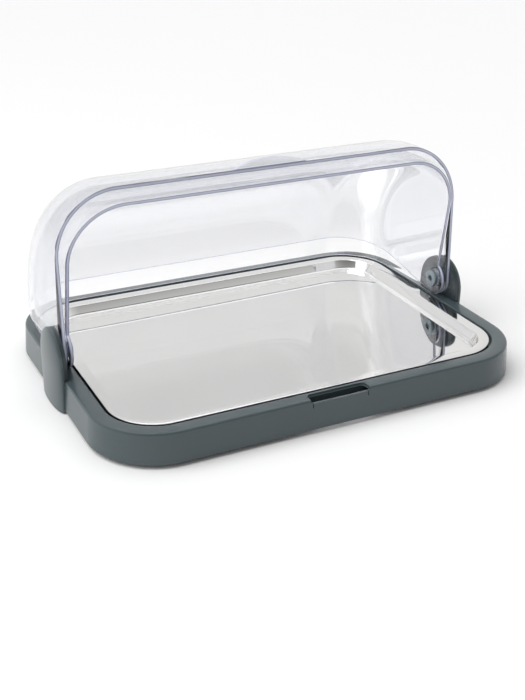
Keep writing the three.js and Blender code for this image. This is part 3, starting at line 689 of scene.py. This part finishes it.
class DISPLAY_OT_base(bpy.types.Operator):
    """Model the moulded base with its rim, groove, ledge, pocket and finger scoop"""

    bl_idname = "display.base"
    bl_label = "Base"
    bl_options = {"REGISTER", "UNDO"}

    def execute(self, context):
        sizes = context.scene.display_base
        top = BASE_HIGH.z
        rim, rim_round = sizes.rim_width, sizes.rim_inner_round
        ledge = rim + sizes.groove_width
        pocket = ledge + sizes.ledge_width
        floor = BASE_LOW.z + sizes.floor_height
        base = base_outline("base_shell", sizes)
        profile = base_outer_profile(sizes)
        profile += arc((rim - rim_round, top - rim_round), rim_round, 90, 0, 3)
        profile += [
            (rim, top - sizes.groove_depth),
            (ledge, top - sizes.groove_depth),
            (ledge, top - sizes.ledge_drop),
            (pocket, top - sizes.ledge_drop),
            (pocket, floor),
        ]
        follow_profile(profile)
        join_pieces(base, [self.underside(sizes, pocket)])
        close_openings(base, bridge=True)
        self.cut_scoop(base, sizes)
        smooth(base)
        details = [*self.ribs(sizes), *self.foot_cups(sizes), self.divider(floor)]
        join_pieces(base, details)
        finish_piece(base, "base", "base_plastic", "base_tray")
        return {"FINISHED"}

    def underside(self, sizes, pocket):
        """The hollow under the base, faced downwards, that leaves the moulded wall."""
        wall = sizes.wall
        ceiling = BASE_HIGH.z - wall
        groove = BASE_HIGH.z - sizes.groove_depth - wall
        floor = BASE_LOW.z + sizes.floor_height - sizes.floor_thickness
        lift = sizes.flare * (1 - (ceiling - BASE_LOW.z) / (BASE_HIGH.z - BASE_LOW.z))
        hollow = base_outline("underside", sizes, -wall, facing=-1)
        follow_profile([
            (wall - sizes.flare, BASE_LOW.z),
            (wall - lift, ceiling),
            (sizes.rim_width - wall, ceiling),
            (sizes.rim_width - wall, groove),
            (pocket - wall, groove),
            (pocket - wall, floor),
        ], facing=-1)
        return hollow

    def cut_scoop(self, base, sizes):
        """Cuts the finger scoop into the front rim, with a slit at each of its ends."""
        front, half = BASE_LOW.y, sizes.scoop_half_width
        back = front + sizes.flare + sizes.scoop_reach
        floor = BASE_HIGH.z - sizes.scoop_depth
        scoop = add_block(
            "scoop", (-half, front - OVERRUN, floor), (half, back, BASE_HIGH.z + OVERRUN))

        def back_corner(edge):
            a, b = ends(scoop, edge)
            return min(a.y, b.y) > back - NEAR and abs(a.x - b.x) < NEAR

        def floor_edge(edge):
            a, b = ends(scoop, edge)
            return max(a.z, b.z) < floor + NEAR and min(a.y, b.y) > front

        pick(scoop, "EDGE", back_corner)
        bpy.ops.mesh.bevel(offset=sizes.scoop_corner, segments=10)
        pick(scoop, "EDGE", floor_edge)
        bpy.ops.mesh.bevel(offset=sizes.scoop_foot, segments=ROUND_STEPS)
        slit_place, slit_half = half - sizes.slit_inset, sizes.slit_half
        slit = add_block(
            "slit",
            (slit_place - slit_half, front - OVERRUN, floor - sizes.slit_depth),
            (slit_place + slit_half, front + sizes.flare + sizes.slit_reach, floor + OVERRUN))
        for tool in (scoop, slit, copy_by(slit, (-2 * slit_place, 0, 0))):
            combine(base, tool, "DIFFERENCE")

    def ribs(self, sizes):
        """The grid of ribs that stiffens the underside."""
        low = BASE_LOW.z + RIB_RISE
        high = BASE_LOW.z + sizes.floor_height - sizes.floor_thickness / 2
        reach_x, reach_y = BASE_HIGH.x - RIB_END, BASE_HIGH.y - RIB_END
        cross_rib = add_block("rib", (-RIB_HALF, -reach_y, low), (RIB_HALF, reach_y, high))
        long_rib = add_block("rib", (-reach_x, -RIB_HALF, low), (reach_x, RIB_HALF, high))
        ribs = [cross_rib, long_rib]
        ribs += [copy_by(cross_rib, (i * CROSS_RIB_PITCH, 0, 0)) for i in (-2, -1, 1, 2)]
        ribs += [copy_by(long_rib, (0, i * LONG_RIB_PITCH, 0)) for i in (-1, 1)]
        return ribs

    def foot_cups(self, sizes):
        """The round cups that hold the feet."""
        low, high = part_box("foot_front_left")
        middle, radius = (low + high) / 2, (high.x - low.x) / 2 + sizes.wall
        cup = add_post("cup", radius, BASE_LOW.z, high.z + LAP, middle.x, middle.y, 48)
        pick(cup, "FACE", lambda face: face.normal.z < -0.5)
        bpy.ops.mesh.inset(thickness=sizes.wall - CUP_LIP)
        extrude((0, 0, high.z + CUP_LIP - BASE_LOW.z))
        across, along = -2 * middle.x, -2 * middle.y
        steps = ((across, 0, 0), (0, along, 0), (across, along, 0))
        return [cup] + [copy_by(cup, step) for step in steps]

    def divider(self, floor):
        """The bar between the two cool packs."""
        reach = BASE_HIGH.y - DIVIDER_END
        return add_block(
            "divider", (-DIVIDER_HALF, -reach, floor - LAP),
            (DIVIDER_HALF, reach, floor + DIVIDER_HEIGHT))


# Serving tray


class DISPLAY_OT_tray(bpy.types.Operator):
    """Press the steel serving tray: hem, flange and sunk well"""

    bl_idname = "display.tray"
    bl_label = "Serving tray"
    bl_options = {"REGISTER", "UNDO"}

    def execute(self, context):
        base, sizes = context.scene.display_base, context.scene.display_tray
        hem, edge, foot = sizes.hem_round, sizes.well_round, sizes.foot_round
        hem_line, hem_foot = sizes.inset, TRAY_TOP - sizes.hem_depth
        well = hem_line + sizes.flange
        floor = TRAY_TOP - sizes.well_depth
        slope = math.degrees(math.atan2(sizes.well_draft, sizes.well_depth))
        run = math.tan(math.radians(90 - slope) / 2)
        foot_centre = (well + sizes.well_draft + foot * run, floor + foot)
        tray = base_outline("tray_sheet", base, -(hem_line + base.flare), hem_foot)
        profile = [(hem_line, hem_foot)]
        profile += arc((hem_line + hem, TRAY_TOP - hem), hem, 180, 90, ROUND_STEPS)
        profile += arc((well - edge * run, TRAY_TOP - edge), edge, 90, slope, ROUND_STEPS)
        profile += arc(foot_centre, foot, 180 + slope, 270, 7)
        follow_profile(profile)
        thicken(tray, sizes.sheet)
        smooth(tray)
        self.paint_hem_shade(tray)
        finish_piece(tray, "tray", "polished_steel", "serving_tray")
        return {"FINISHED"}

    def paint_hem_shade(self, tray):
        """Gives the outward side of the hem a dark steel finish that paints the shade of the gap
        between tray and rim.
        """
        for name in ("polished_steel", "hem_steel"):
            tray.data.materials.append(finish(name))

        def outward(face):
            normal, place = face.normal, face.center
            return abs(normal.z) < 0.9 and normal.x * place.x + normal.y * place.y > 0

        give_finish(tray, 1, outward)


# Hoods


def take_hood_finishes(piece, index):
    """Gives a hood's shape the three clear finishes, with its faces on one of them."""
    piece.data.materials.clear()
    for name in HOOD_FINISHES:
        piece.data.materials.append(finish(name))
    give_finish(piece, index, lambda face: True)


def drum_blank(name, high, corner, flat, draft, height, wall):
    """A hollow drum with rounded ends, about an axis along X at this height."""
    slope_run = high.y - corner - flat
    rim_half = high.x - draft * slope_run
    drum = add_cylinder(name, high.y, -rim_half, rim_half, 180, height)
    pick(drum, "EDGE", lambda edge: abs(ends(drum, edge)[0].x - ends(drum, edge)[1].x) < NEAR)
    bpy.ops.mesh.bevel(offset=corner, segments=18)
    pick(drum, "FACE", lambda face: len(face.vertices) > 8)
    bpy.ops.mesh.inset(thickness=slope_run, depth=draft * slope_run, use_individual=True)
    thicken(drum, wall)
    take_hood_finishes(drum, SKIN)
    return drum


def draw_section(name, points, reach):
    """Draws an outline point by point in an upright plane, and pulls it out along X."""
    clear_selection()
    bpy.ops.mesh.primitive_plane_add(size=MM, location=(-reach, *points[0]))
    section = settle(name)
    pick(section, "VERT", lambda vertex: True)
    bpy.ops.mesh.merge(type="CENTER")
    for (y, z), (next_y, next_z) in zip(points, points[1:]):
        bpy.ops.mesh.extrude_vertices_move(
            TRANSFORM_OT_translate={"value": (0, next_y - y, next_z - z)})
    bpy.ops.mesh.select_all(action="SELECT")
    bpy.ops.mesh.edge_face_add()
    bpy.ops.mesh.select_mode(type="FACE")
    bpy.ops.mesh.select_all(action="SELECT")
    extrude((2 * reach, 0, 0))
    close_openings(section)
    return section


def section_blank(high, crown_drop, crown_lean, heel_run):
    """The wedge between the foot edge and the crown edge, with the round lobe at the pivot.
    It stands over the rear half, about the pivot, and reaches past the hood's high corner."""
    far = 2 * high.y
    crown = Vector((-math.sin(crown_lean), math.cos(crown_lean)))
    outward = Vector((-crown.y, crown.x))
    heel = outward * crown_drop + crown * heel_run
    touch_angle = math.degrees(math.atan2(heel.y, heel.x))
    upper = [heel + crown * far]
    if heel.length > SEAT_DROP + HEEL_CLEAR:
        touch_angle += math.degrees(math.acos(SEAT_DROP / heel.length))
        upper = [heel] + upper
    lobe = [Vector(point) for point in arc((0, 0), SEAT_DROP, -90, touch_angle - 360, 48)]
    outline = lobe + upper + [Vector((far, far)), Vector((far, -SEAT_DROP))]
    points = [(y, PIVOT.z + z) for y, z in outline]
    section = draw_section("section", points, high.x + OVERRUN)
    take_hood_finishes(section, CUT_EDGE)
    return section


def cut_hood(drum, section, sizes):
    """Cuts the drum to its section and bores its two lobes."""
    combine(drum, section, "INTERSECT")
    reach = FRONT_HIGH.x + OVERRUN
    bore = add_cylinder("bore", sizes.bore, -reach, reach, 48)
    take_hood_finishes(bore, CUT_EDGE)
    combine(drum, bore, "DIFFERENCE")


def shade_edge_lines(hood, width):
    """Paints a line of shade along both sides of the cut edges."""
    give_finish(hood, EDGE_SHADE_LINE, lambda face: face.material_index == CUT_EDGE)
    pick(hood, "FACE", lambda face: face.material_index == EDGE_SHADE_LINE)
    bpy.ops.mesh.inset(thickness=width)
    hood.active_material_index = CUT_EDGE
    bpy.ops.object.material_slot_assign()
    set_mode("OBJECT")


class DISPLAY_OT_rear_hood(bpy.types.Operator):
    """Model the inner clear hood: a drafted drum with rounded ends, cut over the rear half"""

    bl_idname = "display.rear_hood"
    bl_label = "Rear hood"
    bl_options = {"REGISTER", "UNDO"}

    def execute(self, context):
        sizes = context.scene.display_hoods
        hood = drum_blank(
            "rear_shell_clear", REAR_HIGH, sizes.rear_corner, SEAT_DROP + PIVOT.z - REAR_AXIS,
            sizes.rear_draft, REAR_AXIS, sizes.wall)
        drop = sizes.rear_crown_drop
        heel_run = math.sqrt(SEAT_DROP ** 2 - drop ** 2)
        cut_hood(hood, section_blank(REAR_HIGH, drop, sizes.rear_crown_lean, heel_run), sizes)
        shade_edge_lines(hood, sizes.edge_line)
        round_edges(hood, sizes.edge_round, EDGE_SHADE_LINE)
        smooth(hood)
        finish_piece(hood, "rear_shell", "clear_plastic", "rear_hood")
        return {"FINISHED"}


class DISPLAY_OT_front_hood(bpy.types.Operator):
    """Model the outer clear hood with its finger grip, closed over the front, and roll it open"""

    bl_idname = "display.front_hood"
    bl_label = "Front hood"
    bl_options = {"REGISTER", "UNDO"}

    def execute(self, context):
        sizes = context.scene.display_hoods
        foot = math.sqrt(FRONT_HIGH.y ** 2 - SEAT_DROP ** 2)
        hood = drum_blank(
            "front_shell_clear", FRONT_HIGH, sizes.front_corner, SEAT_DROP, 0, PIVOT.z, sizes.wall)
        drop, lean = sizes.front_crown_drop, sizes.front_crown_lean
        rise = math.pi / 2 - lean - OPEN_ANGLE
        heel_run = (drop * math.cos(rise) - SEAT_DROP) / math.sin(rise)
        cut_hood(hood, section_blank(FRONT_HIGH, drop, lean, heel_run), sizes)
        combine(hood, self.grip(sizes, foot), "UNION")
        shade_edge_lines(hood, sizes.edge_line)
        self.clear_grip(hood, foot)
        round_edges(hood, sizes.edge_round, EDGE_SHADE_LINE)
        self.roll_open(hood)
        smooth(hood)
        finish_piece(hood, "front_shell", "clear_plastic", "front_hood")
        return {"FINISHED"}

    def grip(self, sizes, foot):
        """The lens-shaped plate that stands out from the foot edge."""
        half, reach = sizes.grip_half, sizes.grip_reach
        bow = (half ** 2 + reach ** 2) / (2 * reach)
        low = PIVOT.z - SEAT_DROP
        grip = add_post("grip", bow, low, low + sizes.wall, 0, foot + reach - bow, 256)
        cut_away(grip, (0, foot - sizes.edge_round, 0), (0, -1, 0))
        take_hood_finishes(grip, CUT_EDGE)
        give_finish(grip, SKIN, lambda face: face.normal.z > 0.5)
        return grip

    def clear_grip(self, hood, foot):
        """Makes the grip's underside clear again, inside its outline."""
        give_finish(hood, SKIN, lambda face: (
            face.material_index == CUT_EDGE and face.normal.z < -0.9 and face.center.y > foot))

    def roll_open(self, hood):
        """Turns the closed hood to the front, and back over the pivot to where it rests."""
        hood.matrix_world = (
            Matrix.Translation(PIVOT)
            @ Matrix.Rotation(-OPEN_ANGLE, 4, "X")
            @ Matrix.Rotation(math.pi, 4, "Z")
            @ Matrix.Translation(-PIVOT))
        apply_place(hood)


# Hinge ears and pivot pieces


def start_ear(name, inset, start, end):
    """The ear's outline between two places, left in edit mode with its outer face selected."""
    radius = EAR_HIGH.y - inset
    clear_selection()
    bpy.ops.mesh.primitive_circle_add(
        vertices=128, radius=radius, fill_type="NGON",
        location=(start, 0, EAR_ARCH), rotation=(0, math.pi / 2, 0))
    ear = settle(name)
    pick(ear, "VERT", lambda vertex: vertex.co.z < EAR_ARCH - radius * 1e-4)
    bpy.ops.transform.translate(value=(0, 0, -2 * (EAR_ARCH - EAR_LOW.z)))
    bpy.ops.mesh.select_mode(type="FACE")
    bpy.ops.mesh.select_all(action="SELECT")
    extrude((end - start, 0, 0))
    return ear


def close_ear(ear, foot):
    """Closes the ear's outline and cuts it off level at its foot."""
    close_openings(ear)
    cut_away(ear, (0, 0, foot), (0, 0, -1))


class DISPLAY_OT_hinge_covers(bpy.types.Operator):
    """Model the domed covers of the hinge ears, fitted over the base's skirt"""

    bl_idname = "display.hinge_covers"
    bl_label = "Hinge covers"
    bl_options = {"REGISTER", "UNDO"}

    def execute(self, context):
        sizes = context.scene.display_ears
        cover = self.dome("ear_cover_right", sizes, 0)
        combine(cover, self.dome("hollow", sizes, sizes.wall), "DIFFERENCE")
        combine(cover, self.skirt(context.scene.display_base, sizes.gap), "DIFFERENCE")
        smooth(cover)
        finish_pair(cover, "ear_cover_left", "ear_plastic", "hinge_cover")
        return {"FINISHED"}

    def dome(self, name, sizes, inset):
        """The ear's outline, pulled out and stepped in to a dome, cut off level at its foot."""
        start = EAR_LOW.x - (OVERRUN if inset else 0)
        shoulder = EAR_LOW.x + sizes.shoulder
        dome = start_ear(name, inset, start, shoulder)
        radius, rise = EAR_HIGH.y - inset, EAR_HIGH.x - shoulder - inset
        turns = [math.pi / 2 * step / DOME_STEPS for step in range(DOME_STEPS)]
        follow_profile([(-radius * math.cos(turn), rise * math.sin(turn)) for turn in turns])
        close_ear(dome, EAR_LOW.z + inset)
        return dome

    def skirt(self, sizes, gap):
        """The base's outside, grown by the gap, that the cover is cut to."""
        skirt = base_outline("skirt", sizes, gap)
        follow_profile(base_outer_profile(sizes))
        close_openings(skirt)
        return skirt


class DISPLAY_OT_hinge_brackets(bpy.types.Operator):
    """Model the brackets behind the covers: plate, frame, pivot boss and leg"""

    bl_idname = "display.hinge_brackets"
    bl_label = "Hinge brackets"
    bl_options = {"REGISTER", "UNDO"}

    def execute(self, context):
        sizes = context.scene.display_ears
        low, high, face, gap = BRACKET_LOW, BRACKET_HIGH, EAR_LOW.x, sizes.gap
        sill = BASE_HIGH.z + gap
        bracket = start_ear("bracket_right", sizes.plate_inset, low.x + gap, face - gap)
        close_ear(bracket, sill)
        plate = start_ear("frame", sizes.frame_inset, face - LAP, high.x - LAP)
        close_ear(plate, sill + gap)
        boss = add_cylinder("boss", sizes.boss, low.x, high.x, 64)
        leg = add_block(
            "leg", (face, -sizes.leg_half, low.z), (high.x, sizes.leg_half, sizes.leg_top))
        for part in (plate, boss, leg):
            combine(bracket, part, "UNION")
        pilot = add_cylinder("pilot", sizes.pilot, low.x - OVERRUN, high.x + OVERRUN, 32)
        combine(bracket, pilot, "DIFFERENCE")
        round_edges(bracket, sizes.edge_round)
        smooth(bracket)
        finish_pair(bracket, "bracket_left", "bracket_plastic", "hinge_bracket")
        return {"FINISHED"}


class DISPLAY_OT_pivot_pieces(bpy.types.Operator):
    """Turn the pivot bushes and the spacer washers"""

    bl_idname = "display.pivot_pieces"
    bl_label = "Bushes and washers"
    bl_options = {"REGISTER", "UNDO"}

    def execute(self, context):
        sizes, bore = context.scene.display_pivot, context.scene.display_hoods.bore
        for piece, name in (
                (self.bush(sizes), "pivot_bush"), (self.washer(bore), "spacer_washer")):
            round_edges(piece, sizes.edge_round)
            smooth(piece)
            piece.name = name + "_turned_right"
            finish_pair(piece, name + "_turned_left", "bush_plastic", name)
        return {"FINISHED"}

    def bush(self, sizes):
        """The flanged bush, sunk for the head of its screw and bored through."""
        start, end = BUSH_LOW.x, BUSH_HIGH.x
        bush = add_cylinder("bush", sizes.body, start + LAP, end, 64)
        combine(bush, add_cylinder("rim", BUSH_HIGH.y, start, start + sizes.flange, 96), "UNION")
        for tool in (
                add_cylinder("sink", sizes.sink, start - LAP, start + sizes.sink_depth, 64),
                add_cylinder("hole", sizes.hole, start, end + LAP, 48)):
            combine(bush, tool, "DIFFERENCE")
        return bush

    def washer(self, bore):
        """The flat ring between hood and bracket."""
        washer = add_cylinder("washer", WASHER_HIGH.y, WASHER_LOW.x, WASHER_HIGH.x, 96)
        hole = add_cylinder("hole", bore, WASHER_LOW.x - LAP, WASHER_HIGH.x + LAP, 64)
        combine(washer, hole, "DIFFERENCE")
        return washer


class DISPLAY_OT_carried_finishes(bpy.types.Operator):
    """Give the carried-over packs, caps, brackets, feet and screws their finishes"""

    bl_idname = "display.carried_finishes"
    bl_label = "Carried finishes"
    bl_options = {"REGISTER", "UNDO"}

    def execute(self, context):
        for entry in frame["record"]["subparts"]:
            for holder in frame["nodes"][entry["node"]].material_slots:
                holder.material = finish(entry["material_slot"])
        return {"FINISHED"}


# Studio


class DISPLAY_OT_studio(bpy.types.Operator):
    """Set up the camera, the pale floor and the soft light"""

    bl_idname = "display.studio"
    bl_label = "Studio"
    bl_options = {"REGISTER", "UNDO"}

    def execute(self, context):
        settings = context.scene.display_studio
        self.camera(context, settings)
        self.floor(settings)
        self.world(context)
        self.light("key light", "SUN", (-0.55, 0.1, 1), energy=1.45, angle=math.radians(50))
        self.light("top light", "SUN", (0.2, 0.3, 1), energy=0.6, angle=math.radians(70))
        self.light("left softbox", "AREA", (-1.5, 0, 0.7), (0, 0, 0.05), energy=7, size=1.2)
        context.scene.view_settings.view_transform = "Standard"
        return {"FINISHED"}

    def camera(self, context, settings):
        """Aims the camera with the turn, height and roll that the photograph has."""
        turn, height, roll = settings.azimuth, settings.elevation, settings.roll
        back = Vector((
            math.sin(turn) * math.cos(height), -math.cos(turn) * math.cos(height), math.sin(height)))
        right = (-back).cross(Vector((0, 0, 1))).normalized()
        up = back.cross(right)
        across = right * math.cos(roll) + up * math.sin(roll)
        upright = up * math.cos(roll) - right * math.sin(roll)
        aim = Vector((0, 0, BASE_LOW.z)) - across * settings.aim_left + upright * settings.aim_up
        data = bpy.data.cameras.new("camera")
        data.lens = settings.lens
        data.sensor_width = 36
        camera = bpy.data.objects.new("camera", data)
        context.scene.collection.objects.link(camera)
        turned = Matrix((across, upright, back)).transposed().to_4x4()
        camera.matrix_world = Matrix.Translation(aim + back * settings.distance) @ turned
        context.scene.camera = camera

    def floor(self, settings):
        """The pale floor, just under the feet."""
        clear_selection()
        bpy.ops.mesh.primitive_circle_add(
            vertices=96, radius=3, fill_type="NGON", location=(0, 0, -0.5 * MM))
        floor = bpy.context.object
        floor.name = "floor"
        material, _, shader = new_material("pale_floor")
        set_inputs(shader, {
            "Base Color": (*settings.floor, 1), "Roughness": 0.8, "Specular IOR Level": 0.1})
        floor.data.materials.append(material)

    def world(self, context):
        """White where the camera and the clear plastic look, and softer as a light. Gloss
        sees a white sweep behind and a dim room in front."""
        world = bpy.data.worlds.new("studio")
        world.use_nodes = True
        context.scene.world = world
        tree = world.node_tree
        background = tree.nodes["Background"]
        set_inputs(background, {"Color": (1, 1, 1, 1)})
        path = add_node(tree, "LightPath")
        direction = add_node(tree, "TexCoord")
        split = add_node(tree, "SeparateXYZ")
        room = add_node(tree, "MapRange", {"From Min": -0.45, "From Max": 0.75, "To Min": 0.1})
        table = add_node(
            tree, "MapRange", {"From Min": 0.28, "From Max": 0.55, "To Min": 1, "To Max": 0})
        around = add_node(tree, "Math", operation="MAXIMUM")
        soft = add_node(tree, "Mix", {"A": 0.45})
        seen = add_node(tree, "Math", operation="MAXIMUM")
        strength = add_node(tree, "Mix", {"B": 1})
        link_nodes(
            tree,
            (direction, "Generated", split, "Vector"),
            (split, "Y", room, "Value"),
            (split, "Z", table, "Value"),
            (room, "Result", around, 0),
            (table, "Result", around, 1),
            (around, "Value", soft, "B"),
            (path, "Is Glossy Ray", soft, "Factor"),
            (path, "Is Camera Ray", seen, 0),
            (path, "Is Transmission Ray", seen, 1),
            (seen, "Value", strength, "Factor"),
            (soft, "Result", strength, "A"),
            (strength, "Result", background, "Strength"))

    def light(self, name, kind, place, target=(0, 0, 0), **settings):
        """A light that looks from its place to its target, and that no gloss shows."""
        clear_selection()
        turn = (Vector(target) - Vector(place)).to_track_quat("-Z", "Y").to_euler()
        bpy.ops.object.light_add(type=kind, location=place, rotation=turn)
        light = bpy.context.object
        light.name = name
        for setting, value in settings.items():
            setattr(light.data, setting, value)
        light.visible_glossy = False


class DISPLAY_PT_panel(bpy.types.Panel):
    """Lists the pieces of the display and their sizes"""

    bl_label = "Chilled Buffet Display"
    bl_idname = "DISPLAY_PT_panel"
    bl_space_type = "VIEW_3D"
    bl_region_type = "UI"
    bl_category = "Display"

    def draw(self, context):
        for operator in PIECES:
            self.layout.operator(operator.bl_idname)
        for holder in SETTINGS:
            settings = getattr(context.scene, holder)
            box = self.layout.box()
            box.label(text=settings.bl_rna.description)
            for name in settings.__annotations__:
                box.prop(settings, name)


PIECES = (
    DISPLAY_OT_base,
    DISPLAY_OT_tray,
    DISPLAY_OT_rear_hood,
    DISPLAY_OT_front_hood,
    DISPLAY_OT_hinge_covers,
    DISPLAY_OT_hinge_brackets,
    DISPLAY_OT_pivot_pieces,
    DISPLAY_OT_carried_finishes,
    DISPLAY_OT_studio,
)

SETTINGS = {
    "display_base": BaseSizes,
    "display_tray": TraySizes,
    "display_hoods": HoodSizes,
    "display_ears": EarSizes,
    "display_pivot": PivotSizes,
    "display_colours": FinishColours,
    "display_studio": StudioSettings,
}


def register():
    for holder, settings in SETTINGS.items():
        bpy.utils.register_class(settings)
        setattr(bpy.types.Scene, holder, PointerProperty(type=settings))
    for piece in (*PIECES, DISPLAY_PT_panel):
        bpy.utils.register_class(piece)


def unregister():
    for piece in (DISPLAY_PT_panel, *reversed(PIECES)):
        bpy.utils.unregister_class(piece)
    for holder, settings in SETTINGS.items():
        delattr(bpy.types.Scene, holder)
        bpy.utils.unregister_class(settings)


def main():
    register()
    for piece in PIECES:
        area, name = piece.bl_idname.split(".")
        getattr(getattr(bpy.ops, area), name)()


if __name__ == "__main__":
    main()
